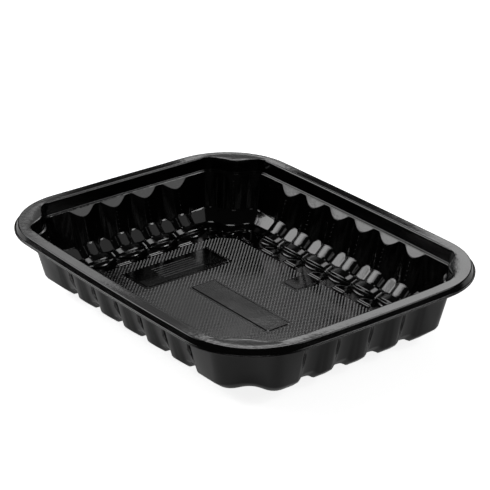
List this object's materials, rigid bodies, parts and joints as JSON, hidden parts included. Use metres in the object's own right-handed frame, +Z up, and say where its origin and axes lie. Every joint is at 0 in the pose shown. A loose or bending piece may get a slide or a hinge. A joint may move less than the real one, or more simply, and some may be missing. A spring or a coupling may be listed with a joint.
{
  "type": "food tray",
  "caption": "Shallow rectangular food tray of drawn black plastic, with a flat sealing flange, fluted walls, pushed-in corners and a floor panel pressed down.",
  "frame": {"origin": "middle of the tray on the plane it stands on", "axes": "+X along the tray's length, +Y along its width, +Z up out of its mouth"},
  "size_m": [0.2282, 0.1796, 0.038],
  "materials": {
    "black_plastic": "gloss black sheet, drawn in a mould"
  },
  "bodies": {
    "root": {"tray": "black_plastic"}
  },
  "joints": []
}
